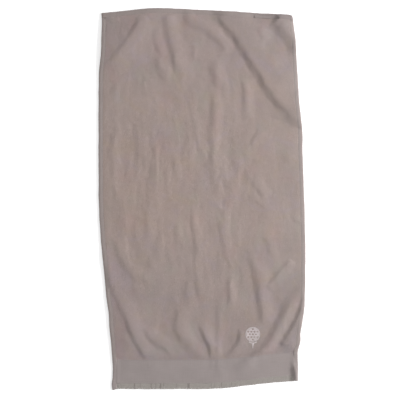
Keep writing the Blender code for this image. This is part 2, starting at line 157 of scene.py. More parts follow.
# ================================================================ folds: how far the cloth is lifted off the table
# Each fold has a steep flank on its left, along the line given here, and a gentler one on its right.
# name, height, width of the steep flank, width of the gentle flank, share over which it starts and ends, line
FOLDS = [
    ("big_ne", 9.6, 27, 92, 0.12, 0.12, [(14, 457), (30, 449), (46, 438), (62, 424), (81, 402), (110, 357), (137, 313), (155, 281), (180, 248), (197, 225), (214, 208), (242, 190), (277, 168)]),
    ("nw_corner", 3.4, 13, 46, 0.16, 0.32, [(-149, 458), (-160, 441), (-175, 416), (-189, 396), (-205, 373), (-222, 353), (-238, 338), (-250, 323)]),
    ("nw_top", 1.6, 18, 24, 0.10, 0.40, [(-145, 457), (-158, 438), (-172, 418), (-185, 398)]),
    ("top_1", 3.5, 19, 30, 0.02, 0.38, [(-95, 457), (-91, 430), (-88, 405), (-80, 378), (-72, 345), (-60, 315), (-47, 296), (-31, 280)]),
    ("top_1b", 1.5, 12, 18, 0.25, 0.25, [(-103, 438), (-118, 418), (-119, 391), (-112, 368), (-102, 346)]),
    ("top_1c", 2.6, 22, 24, 0.35, 0.35, [(-130, 343), (-114, 328), (-103, 310), (-95, 280)]),
    ("top_1d", 1.4, 12, 16, 0.30, 0.30, [(-155, 286), (-140, 292), (-124, 288)]),
    ("top_2", 3.6, 18, 26, 0.30, 0.35, [(-54, 446), (-42, 442), (-28, 435), (-6, 424), (12, 411)]),
    ("top_2b", 4.4, 18, 30, 0.35, 0.20, [(-8, 425), (22, 405), (40, 388), (52, 374), (62, 358)]),
    ("top_2c", 1.1, 10, 14, 0.30, 0.30, [(-23, 390), (-24, 362), (-18, 340)]),
    ("ne_corner", 6.2, 29, 34, 0.12, 0.20, [(170, 440), (184, 429), (203, 408), (217, 389), (225, 368), (231, 350)]),
    ("ne_small", 1.6, 14, 22, 0.40, 0.40, [(128, 432), (140, 418), (150, 400), (160, 383)]),
    ("mid_top", 3.5, 25, 30, 0.35, 0.35, [(14, 350), (22, 332), (25, 315), (29, 295), (28, 268)]),
    ("mid_long", 2.8, 17, 28, 0.28, 0.36, [(29, 290), (25, 246), (23, 202), (20, 158), (24, 121), (19, 83), (23, 46), (18, -4)]),
    ("mid_b", 2.3, 15, 24, 0.22, 0.32, [(100, 305), (103, 276), (106, 245), (105, 215), (101, 185)]),
    ("mid_c", 0.3, 14, 22, 0.28, 0.36, [(61, 177), (76, 127), (81, 83), (88, 51)]),
    ("e_top", 1.1, 18, 24, 0.40, 0.42, [(197, 121), (206, 96), (215, 78)]),
    ("e_top2", 1.7, 9, 18, 0.40, 0.42, [(147, 183), (127, 148), (110, 121)]),
    ("e_ridge", 1.9, 9, 16, 0.30, 0.12, [(160, 212), (187, 202), (215, 190), (243, 175), (262, 164)]),
    ("e_mid", 1.9, 12, 28, 0.30, 0.30, [(121, 48), (130, 34), (140, 18), (150, 5), (164, -5)]),
    ("e_mid2", 1, 9, 20, 0.30, 0.30, [(112, -8), (136, -8), (160, -27)]),
    ("e_mid3", 1.3, 12, 22, 0.40, 0.42, [(216, -43), (233, -57), (250, -74)]),
    ("c_1", 2.1, 10, 22, 0.30, 0.30, [(-25, -15), (-27, -55), (-22, -93), (-17, -130), (-10, -162)]),
    ("c_1b", 1.4, 9, 20, 0.30, 0.30, [(-27, -104), (-20, -148), (-17, -198), (-9, -242), (-3, -267)]),
    ("c_2", 0.7, 12, 18, 0.40, 0.42, [(-42, -185), (-39, -229), (-32, -273), (-28, -293)]),
    ("c_3", 1.6, 13, 24, 0.30, 0.30, [(36, -14), (44, -47), (46, -85), (54, -123), (63, -160), (66, -198)]),
    ("c_4", 2.6, 11, 18, 0.28, 0.28, [(67, -178), (65, -210), (66, -248), (60, -277)]),
    ("c_5", 1.3, 12, 18, 0.40, 0.42, [(23, -4), (42, -28), (60, -49)]),
    ("c_6", 1.3, 10, 16, 0.40, 0.42, [(-72, -54), (-65, -85), (-69, -123)]),
    ("se_long", 4.2, 17, 36, 0.60, 0.14, [(101.5, -78), (108.5, -119), (119.5, -155), (129.5, -195), (137.5, -234), (142.5, -273), (146.5, -303), (148.5, -324)]),
    ("se_long2", 1.3, 12, 24, 0.35, 0.35, [(143, -78), (155, -98), (165, -120), (171, -145), (172, -165)]),
    ("se_branch", 2.4, 8, 26, 0.14, 0.12, [(224, -150), (209, -164), (193, -178), (182, -195), (168, -211), (157, -224)]),
    ("sw_edge", 2.2, 16, 30, 0.20, 0.10, [(-250, -117), (-245, -160), (-238, -198), (-228, -229)]),
    ("sw_long", 3.9, 14, 40, 0.55, 0.02, [(-258, -140), (-238, -189), (-223, -233), (-204, -275), (-185, -317), (-170, -353), (-155, -379), (-143, -402), (-128, -430)]),
    ("sw_2", 2.3, 17, 28, 0.15, 0.20, [(-224, -94), (-214, -129), (-203, -159), (-183, -187), (-153, -204), (-118, -214)]),
    ("sw_3", 1.6, 22, 26, 0.30, 0.30, [(-209, -342), (-195, -365), (-185, -392)]),
    ("s_1", 3.4, 15, 30, 0.25, 0.25, [(-148, -316), (-140, -334), (-129, -353), (-113, -365), (-93, -379), (-72, -392)]),
    ("s_2", 3.4, 17, 36, 0.35, 0.30, [(-63, -250), (-64, -286), (-68, -314), (-67, -332), (-54, -350), (-36, -366)]),
    ("s_2b", 0.6, 14, 20, 0.40, 0.40, [(-55, -217), (-45, -248), (-35, -285)]),
    ("s_2low", 3.6, 28, 26, 0.30, 0.02, [(-70, -338), (-52, -354), (-36, -372), (-26, -394), (-16, -428)]),
    ("s_3", 3.6, 10, 26, 0.40, 0.02, [(-16, -298), (-6, -323), (8, -351), (18, -373), (20, -398), (20, -428)]),
    ("s_4", 3.7, 10, 28, 0.25, 0.02, [(97, -316), (93, -334), (90, -354), (79, -373), (65, -390), (44, -418)]),
    ("s_ridge", 1.4, 12, 14, 0.45, 0.02, [(37, -223), (37, -285), (36, -342), (35, -394), (35, -425)]),
    ("se_band1", 5.4, 22, 26, 0.42, 0.10, [(292, -176), (250, -211), (222, -246), (202, -278), (187, -312), (171, -340), (155, -366), (138, -384), (112, -396), (82, -407)]),
    ("corner_under", 3.0, 12, 24, 0.25, 0.40, [(166, -359), (147, -376), (128, -389), (110, -399), (90, -410), (70, -421)]),
    ("se_band2", 4.5, 11, 56, 0.32, 0.20, [(250, -215), (249, -252), (243, -280), (232, -303), (221, -325), (209, -343), (200, -360), (191, -373)]),
    ("se_edge", 2.6, 26, 20, 0.30, 0.20, [(247, -296), (244, -322), (238, -348), (233, -374)]),
    ("se_hemline", 2.4, 16, 18, 0.25, 0.25, [(192, -369), (215, -370), (233, -370)]),
    ("w_small", 1.6, 13, 18, 0.40, 0.42, [(-212, 295), (-222, 276), (-230, 248)]),
    ("w_mid1", 1.8, 17, 24, 0.40, 0.42, [(-205, 200), (-218, 176), (-229, 133), (-234, 96), (-228, 55)]),
    ("w_mid2", 1.6, 15, 22, 0.40, 0.42, [(-163, 202), (-165, 165), (-158, 121), (-162, 71)]),
    ("w_mid3", 1.2, 14, 22, 0.40, 0.42, [(-152, 40), (-147, -4), (-142, -48), (-140, -92), (-134, -129)]),
    ("w_mid4", 1.4, 13, 20, 0.40, 0.42, [(-125, 165), (-120, 121), (-128, 83), (-124, 46)]),
    ("w_mid5", 1.6, 14, 22, 0.40, 0.42, [(-97, 186), (-93, 146), (-102, 102), (-98, 58), (-103, 21)]),
    ("w_mid6", 1.3, 14, 20, 0.40, 0.42, [(-65, 115), (-72, 71), (-59, 33)]),
    ("w_low1", 0.9, 16, 22, 0.40, 0.42, [(-218, 2), (-205, -35), (-207, -85)]),
    ("w_low2", 1.3, 14, 20, 0.40, 0.42, [(-128, -135), (-135, -167), (-128, -198)]),
    ("w_low3", 1.2, 12, 18, 0.40, 0.42, [(-178, -198), (-169, -223), (-172, -260)]),
    ("c_top", 1.3, 13, 20, 0.40, 0.42, [(-22, 252), (-25, 215), (-20, 171), (-24, 127)]),
    ("corner_slit", 2.2, 7, 9, 0.30, 0.10, [(221, -404), (225, -418), (228, -434), (230, -450), (230, -462)]),
    ("corner_patch", 4.8, 18, 9, 0.35, 0.10, [(228, -412), (230, -432), (231, -462)]),
    ("corner_ridge", 0.9, 13, 18, 0.30, 0.55, [(36, -386), (36, -410), (38, -436), (40, -462)]),
    ("corner_wave", 0.8, 26, 34, 0.30, 0.50, [(132, -392), (108, -408), (86, -424), (62, -446)]),
    ("hem_line", 1.6, 7, 12, 0.25, 0.25, [(-236, 443), (-220, 442), (-203, 441)]),
    ("c_top2", 1.2, 12, 18, 0.40, 0.42, [(-22, 90), (-14, 46), (-18, -4)]),
]  # fmt: skip

STEP = 2.0
GX = np.arange(-284.0, 285.0, STEP)
GY = np.arange(-496.0, 497.0, STEP)
FX, FY = np.meshgrid(GX, GY)


def smooth_line(points, n):
    """A smooth curve through points, n to a span."""
    p = np.array(points, float)
    p = np.vstack([2 * p[0] - p[1], p, 2 * p[-1] - p[-2]])
    out = []
    for i in range(1, len(p) - 2):
        t = np.linspace(0, 1, n, endpoint=False)[:, None]
        a, b, c, d = p[i - 1], p[i], p[i + 1], p[i + 2]
        out.append(0.5 * (2 * b + (c - a) * t + (2 * a - 5 * b + 4 * c - d) * t**2 + (3 * b - a - 3 * c + d) * t**3))
    out.append(p[-2][None])
    return np.vstack(out)


def fold(x, y, height, steep, gentle, start, end, line, seed):
    line = smooth_line(line, 8)
    reach = 1.5 * (steep + gentle) + 14
    inside = (
        (x > line[:, 0].min() - reach) & (x < line[:, 0].max() + reach)
        & (y > line[:, 1].min() - reach) & (y < line[:, 1].max() + reach)
    )  # fmt: skip
    px, py = x[inside], y[inside]
    # the line wanders a little, so that no flank is drawn with a ruler
    px = px + 2.2 * noise2(px / 26, py / 26, seed) + 0.9 * noise2(px / 9, py / 9, seed + 1)
    py = py + 2.2 * noise2(px / 26 + 9, py / 26, seed + 2)
    along = np.concatenate([[0], np.cumsum(np.hypot(*np.diff(line, axis=0).T))])
    best = np.full(px.shape, 1e9)
    side, where, past = np.zeros(px.shape), np.zeros(px.shape), np.zeros(px.shape)
    for i in range(len(line) - 1):
        a, d = line[i], line[i + 1] - line[i]
        length = np.hypot(*d)
        u = ((px - a[0]) * d[0] + (py - a[1]) * d[1]) / length**2
        uc = np.clip(u, 0, 1)
        dx, dy = px - a[0] - uc * d[0], py - a[1] - uc * d[1]
        dist = np.hypot(dx, dy)
        n = np.array([-d[1], d[0]]) / length
        if n @ np.array([1.0, 0.35]) < 0:
            n = -n
        signed = (px - a[0]) * n[0] + (py - a[1]) * n[1]
        closer = dist < best
        best = np.where(closer, dist, best)
        side = np.where(closer, signed, side)
        where = np.where(closer, along[i] + uc * length, where)
        over = np.maximum(np.maximum(-u, u - 1), 0) * length
        past = np.where(closer, over, past)
    share = where / along[-1]
    fade = ease(share / start) if start > 0 else 1.0
    fade = fade * (ease((1 - share) / end) if end > 0 else 1.0)
    fade = fade * ease(1 - past / 10)
    tall = height * fade * (1 + 0.18 * noise2(where / 38, 0 * where + 0.5, seed + 3))
    # a fold flattens and widens as it dies out
    wide = 1.30 - 0.30 * fade + 0.16 * noise2(where / 31, 0 * where + 4.5, seed + 4)
    steep, gentle = steep * wide, gentle * wide
    rise = ease((side + steep * 0.55) / steep)
    fall = 1 - ease((side - steep * 0.45) / gentle)
    out = np.zeros_like(x)
    out[inside] = tall * np.where(side < steep * 0.45, rise, fall)
    return out


def edge_distance(x, y):
    """Roughly how far inside the outline a point is."""
    left, right = left_side(y + CENTRE_Y) - CENTRE_X, right_side(y + CENTRE_Y) - CENTRE_X
    top, low = hem_end(x + CENTRE_X) - CENTRE_Y, fringe_end(x + CENTRE_X) - CENTRE_Y
    return np.minimum.reduce([x - left, right - x, top - y, y - low])


def lift_field():
    x, y = FX, FY
    total = np.zeros_like(x)
    on_border = np.zeros_like(x)
    for k, (name, height, steep, gentle, start, end, line) in enumerate(FOLDS):
        raised = fold(x, y, height, steep, gentle, start, end, line, 100 + 7 * k)
        if name.startswith("corner"):
            on_border += raised
        else:
            total += raised
    # the corner beyond the top left crease slopes down and away
    beyond = -((x + 175) * 0.79 + (417 - y) * 0.61)
    total += 4.8 * np.where(beyond > 0, np.clip(1 - beyond / 104, 0, 1), ease(1 + beyond / 85)) * ease((y - 290) / 90)
    # and so does the cloth to the left of the long crease at the lower left
    beyond = -((x + 190) * 0.91 + (y + 305) * 0.41)
    total += 2.3 * np.where(beyond > 0, np.clip(1 - beyond / 60, 0, 1), ease(1 + beyond / 66)) * ease((-205 - y) / 90)
    inside = edge_distance(x, y)
    band_top = fringe_end(x + CENTRE_X) - CENTRE_Y + FRINGE_LENGTH + BAND_HEIGHT
    # the flat-woven border is stiffer: the folds stop where it starts
    total *= 0.15 + 0.85 * ease((y - band_top + 4) / 25)
    body = ease((inside - 4) / 40) * ease((y - band_top - 2) / 50)
    # crinkles that run along the towel, strongest down the middle
    wx = x + 9 * noise2(x / 55, y / 60, 21) + 3 * noise2(x / 20, y / 24, 22)
    wy = y + 12 * noise2(x / 60, y / 70, 23)
    long_crinkle = noise2(wx / 21, wy / 78, 24)
    short_crinkle = noise2(wx / 12, wy / 34, 25)
    rumple = noise2(wx / 9, wy / 13, 26)
    where_strong = (0.55 + 0.45 * noise2(x / 110 + 5, y / 140, 27)) * (1 - 0.55 * ease((x - 95) / 70))
    middle = bump(y - 40, 330)
    total += body * middle * where_strong * (1.5 * long_crinkle + 0.75 * short_crinkle)
    rough = 0.35 + 0.65 * bump(np.hypot((x + 70) / 150, (y - 60) / 230), 1.0)
    total += ease((inside - 2) / 20) * ease((y - band_top - 2) / 30) * rough * (0.42 * rumple + 0.26 * noise2(x / 6.5, y / 8.5, 31))
    # slow waves, and small ones everywhere
    total += ease(inside / 60) * (0.3 + 0.7 * ease((y - band_top + 8) / 60)) * (1.1 * noise2(x / 95, y / 120, 28) + 1.0)
    total += 0.35 * ease(inside / 14) * noise2(x / 30, y / 34, 29)
    total += 0.5 + 0.4 * noise2(x / 70, y / 70, 30) + on_border
    # nothing goes below the table, and where folds meet they don't pile up
    total = 0.35 * np.log1p(np.exp(np.clip(total / 0.35, -30, 60)))
    over = np.maximum(total - 7.6, 0)
    return np.minimum(total, 7.6) + 3.3 * (1 - np.exp(-over / 3.3))


LIFT = lift_field()


def lift(x, y):
    """How far the cloth's underside is above the table at a place."""
    fx = np.clip((np.asarray(x, float) - GX[0]) / STEP, 0, len(GX) - 1.001)
    fy = np.clip((np.asarray(y, float) - GY[0]) / STEP, 0, len(GY) - 1.001)
    ix, iy = fx.astype(int), fy.astype(int)
    u, v = fx - ix, fy - iy
    return (
        LIFT[iy, ix] * (1 - u) * (1 - v) + LIFT[iy, ix + 1] * u * (1 - v)
        + LIFT[iy + 1, ix] * (1 - u) * v + LIFT[iy + 1, ix + 1] * u * v
    )  # fmt: skip


# ================================================================ mesh helpers
def new_mesh(name, points, quads, uv=None, smooth=True, triangles=None):
    """points in millimetres, quads as an array of four indices, uv as one pair per point."""
    mesh = bpy.data.meshes.new(name)
    faces = [tuple(q) for q in np.asarray(quads).tolist()]
    if triangles is not None:
        faces += [tuple(q) for q in np.asarray(triangles).tolist()]
    mesh.from_pydata((np.asarray(points) * MM).tolist(), [], faces)
    if uv is not None:
        layer = mesh.uv_layers.new(name="UVMap")
        loops = np.zeros(len(mesh.loops), np.int64)
        mesh.loops.foreach_get("vertex_index", loops)
        layer.data.foreach_set("uv", (np.asarray(uv)[loops] * MM).astype(np.float32).ravel())
    mesh.polygons.foreach_set("use_smooth", [smooth] * len(mesh.polygons))
    mesh.update()
    mesh.validate()
    obj = bpy.data.objects.new(name, mesh)
    bpy.context.scene.collection.objects.link(obj)
    return obj


def grid_quads(rows, cols, first=0, flip=False, wrap=False):
    """Quads of a grid of points, rows by cols; wrap joins the last column to the first."""
    r = np.arange(rows - 1)[:, None]
    c = np.arange(cols if wrap else cols - 1)[None, :]
    n = (c + 1) % cols
    a, b = first + r * cols + c, first + r * cols + n
    d, e = first + (r + 1) * cols + c, first + (r + 1) * cols + n
    q = np.stack([a, d, e, b], -1).reshape(-1, 4)
    return q[:, ::-1] if flip else q


def two_sided(name, s, t, top, low, edge_out=0.0):
    """A closed sheet over a grid of places s across and t along. top and low are heights for x, y, s, t."""
    S, T = np.meshgrid(s, t)
    x, y = laid(S, T)
    up, down = top(x, y, S, T), low(x, y, S, T)
    rows, cols = S.shape
    n = rows * cols
    points = np.concatenate([np.stack([x, y, up], -1).reshape(-1, 3), np.stack([x, y, down], -1).reshape(-1, 3)])
    uv = np.stack([S * WIDTH, (1 - T) * LENGTH], -1).reshape(-1, 2)
    uv = np.concatenate([uv, uv + np.array([[1200.0, 0.0]])])
    quads = [grid_quads(rows, cols), grid_quads(rows, cols, first=n, flip=True)]
    ring = np.concatenate([
        np.arange(cols), cols - 1 + cols * np.arange(1, rows), (rows - 1) * cols + np.arange(cols - 2, -1, -1),
        cols * np.arange(rows - 2, 0, -1),
    ])  # fmt: skip
    after = np.roll(ring, -1)
    quads.append(np.stack([ring, after, after + n, ring + n], -1))
    return new_mesh(name, points, np.concatenate(quads), uv)


def tubes(name, lines, radii, sides=6, flat=1.0, twist=0.0):
    """Many short threads in one piece: each line is an array of points, each radius one number for each point."""
    points, quads, tris, uvs, first = [], [], [], [], 0
    for line, radius in zip(lines, radii, strict=True):
        line = np.asarray(line, float)
        radius = np.broadcast_to(np.asarray(radius, float), (len(line),))
        tangent = np.gradient(line, axis=0)
        tangent /= np.linalg.norm(tangent, axis=1)[:, None] + 1e-12
        up = np.array([0.0, 0.0, 1.0])
        across = np.cross(tangent, up)
        across /= np.linalg.norm(across, axis=1)[:, None] + 1e-12
        over = np.cross(across, tangent)
        angle = np.arange(sides) / sides * 2 * math.pi
        rings = (
            line[:, None]
            + across[:, None] * (np.cos(angle)[None, :, None] * radius[:, None, None])
            + over[:, None] * (np.sin(angle)[None, :, None] * radius[:, None, None] * flat)
        )
        n = len(line)
        points += [rings.reshape(-1, 3), line[:1], line[-1:]]
        quads.append(grid_quads(n, sides, first, wrap=True))
        a, b = first + n * sides, first + n * sides + 1
        i = np.arange(sides)
        tris.append(np.stack([np.full(sides, a), first + i, first + (i + 1) % sides], -1))
        last = first + (n - 1) * sides
        tris.append(np.stack([np.full(sides, b), last + (i + 1) % sides, last + i], -1))
        run = np.concatenate([[0], np.cumsum(np.linalg.norm(np.diff(line, axis=0), axis=1))])
        around = i / sides * 4.0
        u = np.broadcast_to(around[None, :] + line[0, 0] * 0.37 % 5, (n, sides))
        v = np.broadcast_to(run[:, None] + (line[0, 1] * 0.71) % 7, (n, sides))
        uvs += [np.stack([u, v], -1).reshape(-1, 2), [[0, 0]], [[0, run[-1]]]]
        first += n * sides + 2
    return new_mesh(name, np.concatenate(points), np.concatenate(quads), np.concatenate(uvs), triangles=np.concatenate(tris))


# ================================================================ materials
def nodes_of(name):
    m = bpy.data.materials.new(name)
    m.use_nodes = True
    tree = m.node_tree
    return m, tree, tree.nodes["Principled BSDF"]


class Graph:
    """Shorthand for building node trees."""

    def __init__(self, tree):
        self.t = tree

    def node(self, kind, **settings):
        n = self.t.nodes.new(kind)
        for k, v in settings.items():
            setattr(n, k, v)
        return n

    def link(self, a, b):
        self.t.links.new(a, b)

    def set(self, socket, value):
        if isinstance(value, bpy.types.NodeSocket):
            self.link(value, socket)
        else:
            socket.default_value = value

    def uv(self, sx, sy):
        """The cloth's own coordinates in millimetres, divided by sx and sy."""
        u = self.node("ShaderNodeUVMap", uv_map="UVMap")
        m = self.node("ShaderNodeMapping")
        m.inputs["Scale"].default_value = (1000.0 / sx, 1000.0 / sy, 1.0)
        self.link(u.outputs["UV"], m.inputs["Vector"])
        return m.outputs["Vector"]

    def noise(self, vector, detail=2.0, rough=0.5, distortion=0.0):
        n = self.node("ShaderNodeTexNoise", noise_dimensions="2D")
        self.link(vector, n.inputs["Vector"])
        n.inputs["Scale"].default_value = 1.0
        n.inputs["Detail"].default_value = detail
        n.inputs["Roughness"].default_value = rough
        n.inputs["Distortion"].default_value = distortion
        return n.outputs["Fac"]

    def voronoi(self, vector, feature="F1", randomness=1.0, output="Distance"):
        n = self.node("ShaderNodeTexVoronoi", voronoi_dimensions="2D", feature=feature)
        self.link(vector, n.inputs["Vector"])
        n.inputs["Scale"].default_value = 1.0
        n.inputs["Randomness"].default_value = randomness
        return n.outputs[output]

    def wave(self, vector, direction, profile="SIN"):
        n = self.node("ShaderNodeTexWave", wave_type="BANDS", bands_direction=direction, wave_profile=profile)
        self.link(vector, n.inputs["Vector"])
        n.inputs["Scale"].default_value = 1.0
        n.inputs["Distortion"].default_value = 0.0
        return n.outputs["Fac"]

    def math(self, op, a, b=0.0, clamp=False):
        n = self.node("ShaderNodeMath", operation=op, use_clamp=clamp)
        self.set(n.inputs[0], a)
        self.set(n.inputs[1], b)
        return n.outputs[0]

    def ramp(self, value, low, high, to_low=0.0, to_high=1.0, smooth=True):
        n = self.node("ShaderNodeMapRange", interpolation_type="SMOOTHSTEP" if smooth else "LINEAR")
        self.link(value, n.inputs["Value"])
        n.inputs["From Min"].default_value = low
        n.inputs["From Max"].default_value = high
        n.inputs["To Min"].default_value = to_low
        n.inputs["To Max"].default_value = to_high
        return n.outputs["Result"]

    def mix(self, fac, a, b, blend="MIX"):
        n = self.node("ShaderNodeMix", data_type="RGBA", blend_type=blend)
        self.set(n.inputs[0], fac)
        self.set(n.inputs[6], (*a, 1.0) if isinstance(a, tuple) and len(a) == 3 else a)
        self.set(n.inputs[7], (*b, 1.0) if isinstance(b, tuple) and len(b) == 3 else b)
        return n.outputs[2]

    def bump(self, height, strength, distance, normal=None):
        n = self.node("ShaderNodeBump")
        n.inputs["Strength"].default_value = strength
        n.inputs["Distance"].default_value = distance
        self.link(height, n.inputs["Height"])
        if normal is not None:
            self.link(normal, n.inputs["Normal"])
        return n.outputs["Normal"]


def scaled(colour, k):
    return tuple(c * k for c in colour)


CLOTH = (0.333, 0.264, 0.241)
BAND = (0.289, 0.2495, 0.2425)


def terry_material():
    m, tree, shader = nodes_of("terry_pile")
    g = Graph(tree)
    loops = g.voronoi(g.uv(0.92, 1.2), randomness=0.9)
    loop_height = g.ramp(loops, 0.05, 0.75, 1.0, 0.0)
    tufts = g.noise(g.uv(2.6, 3.4), detail=4.0, rough=0.68)
    clumps = g.noise(g.uv(9.0, 13.0), detail=3.0, rough=0.55, distortion=0.6)
    patches = g.noise(g.uv(70.0, 95.0), detail=3.0, rough=0.5)
    height = g.math("ADD", g.math("MULTIPLY", loop_height, 0.52), g.math("MULTIPLY", tufts, 0.42))
    height = g.math("ADD", height, g.math("MULTIPLY", clumps, 0.34))
    # painted shade: the tone is darker in the gaps between loops and tufts and paler on their tops, on top of its
    # random tone
    tone = g.math("ADD", g.math("MULTIPLY", loop_height, 0.30), g.math("MULTIPLY", g.ramp(tufts, 0.3, 0.7), 0.24))
    tone = g.math("ADD", tone, g.math("MULTIPLY", g.ramp(clumps, 0.3, 0.7), 0.24))
    tone = g.math("ADD", tone, g.math("MULTIPLY", g.ramp(patches, 0.3, 0.7), 0.30))
    colour = g.mix(tone, scaled(CLOTH, 0.90), scaled(CLOTH, 1.10))
    # a warmer and a cooler cast in slow patches
    cast = g.noise(g.uv(60.0, 75.0), detail=2.0)
    colour = g.mix(g.ramp(cast, 0.35, 0.65, 0.0, 0.35), colour, (0.318, 0.263, 0.247))
    # painted shade: beyond the crease in the top left corner the colour is darkened, standing in for the shade of the
    # corner sloping away
    place = g.node("ShaderNodeSeparateXYZ")
    g.link(g.uv(1.0, 1.0), place.inputs[0])
    beyond = g.math("ADD", g.math("MULTIPLY", place.outputs[0], -0.796), g.math("MULTIPLY", place.outputs[1], 0.606))
    beyond = g.math("ADD", beyond, g.math("MULTIPLY", clumps, 10.0))
    corner_shade = g.ramp(beyond, 946 * 0.606 - 107.6 * 0.796 - 3.0, 946 * 0.606 - 107.6 * 0.796 + 14.0)
    colour = g.mix(corner_shade, colour, (0.94, 0.945, 0.962), "MULTIPLY")
    # painted shade: the top right corner is darkened, standing in for its shade; the lower third is a little greyer,
    # the middle a little warmer
    top_right_shade = g.math("ADD", g.math("MULTIPLY", place.outputs[0], 0.777), g.math("MULTIPLY", place.outputs[1], 0.63))
    top_right_shade = g.math("ADD", top_right_shade, g.math("MULTIPLY", patches, 20.0))
    colour = g.mix(g.ramp(top_right_shade, 840.0, 880.0), colour, (0.91, 0.932, 0.942), "MULTIPLY")
    low = g.ramp(g.math("ADD", place.outputs[1], g.math("MULTIPLY", patches, 160.0)), 300.0, 480.0, 1.0, 0.0)
    colour = g.mix(low, colour, (0.938, 0.952, 0.968), "MULTIPLY")
    # slow drifts between a rosier and a greener taupe, and a bluer cast towards the lower left corner
    drift = g.noise(g.uv(46.0, 64.0), detail=2.0, rough=0.45)
    colour = g.mix(g.ramp(drift, 0.42, 0.26), colour, (1.020, 0.982, 0.992), "MULTIPLY")
    colour = g.mix(g.ramp(drift, 0.58, 0.74), colour, (0.978, 1.015, 0.996), "MULTIPLY")
    blue = g.noise(g.uv(58.0, 50.0), detail=2.0, rough=0.45, distortion=0.8)
    colour = g.mix(g.ramp(blue, 0.56, 0.74), colour, (0.996, 1.0, 1.052), "MULTIPLY")
    colour = g.mix(g.ramp(blue, 0.44, 0.26), colour, (1.005, 1.0, 0.956), "MULTIPLY")
    west = g.math("ADD", place.outputs[0], g.math("MULTIPLY", place.outputs[1], 0.35))
    colour = g.mix(g.ramp(west, 185.0, 125.0), colour, (1.020, 1.018, 1.052), "MULTIPLY")
    colour = g.mix(g.math("MULTIPLY", g.ramp(place.outputs[0], 430.0, 470.0), g.ramp(place.outputs[1], 740.0, 700.0)), colour, (0.965, 0.985, 0.992), "MULTIPLY")
    # a little bluer along the plain end and beside the border, and rosier where it is worn
    colour = g.mix(g.ramp(place.outputs[1], 750.0, 850.0), colour, (0.989, 0.993, 1.020), "MULTIPLY")
    colour = g.mix(g.ramp(place.outputs[1], 210.0, 60.0), colour, (0.984, 0.992, 1.014), "MULTIPLY")
    rosy = g.math("MULTIPLY", g.ramp(place.outputs[1], 330.0, 430.0), g.ramp(place.outputs[1], 670.0, 560.0))
    colour = g.mix(g.math("MULTIPLY", rosy, g.ramp(place.outputs[0], 300.0, 190.0)), colour, (1.020, 1.002, 0.986), "MULTIPLY")
    # paler loops standing out here and there, and a few darker pulls
    speck = g.voronoi(g.uv(6.0, 7.5))
    keep = g.node("ShaderNodeSeparateColor")
    g.link(g.voronoi(g.uv(6.0, 7.5), output="Color"), keep.inputs[0])
    pale = g.math("MULTIPLY", g.ramp(speck, 0.24, 0.08), g.ramp(keep.outputs[0], 0.80, 0.92))
    dark = g.math("MULTIPLY", g.ramp(speck, 0.26, 0.10), g.ramp(keep.outputs[1], 0.84, 0.95))
    worn = g.math("MULTIPLY", g.ramp(place.outputs[1], 130.0, 230.0), g.ramp(place.outputs[1], 760.0, 690.0))
    worn = g.math("MULTIPLY", worn, g.ramp(place.outputs[0], 440.0, 320.0))
    # short pulls and flattened loops where the towel has been handled most
    strokes = g.noise(g.uv(3.0, 7.5), detail=3.0, rough=0.6, distortion=1.6)
    colour = g.mix(g.math("MULTIPLY", g.ramp(strokes, 0.60, 0.68), g.math("ADD", g.math("MULTIPLY", worn, 0.34), 0.04)), colour, scaled(CLOTH, 1.30))
    colour = g.mix(g.math("MULTIPLY", g.ramp(strokes, 0.40, 0.32), g.math("ADD", g.math("MULTIPLY", worn, 0.34), 0.04)), colour, scaled(CLOTH, 0.72))
    worn = g.math("ADD", g.math("MULTIPLY", worn, 0.12), 0.22)
    colour = g.mix(g.math("MULTIPLY", pale, worn), colour, scaled(CLOTH, 1.38))
    colour = g.mix(g.math("MULTIPLY", dark, worn), colour, scaled(CLOTH, 0.66))
    g.link(colour, shader.inputs["Base Color"])
    g.link(g.ramp(tufts, 0.2, 0.8, 0.88, 0.99), shader.inputs["Roughness"])
    g.link(g.bump(height, 0.75, 0.0011), shader.inputs["Normal"])
    shader.inputs["Specular IOR Level"].default_value = 0.18
    shader.inputs["Sheen Weight"].default_value = 0.22
    shader.inputs["Sheen Roughness"].default_value = 0.55
    shader.inputs["Sheen Tint"].default_value = (0.95, 0.90, 0.87, 1.0)
    return m


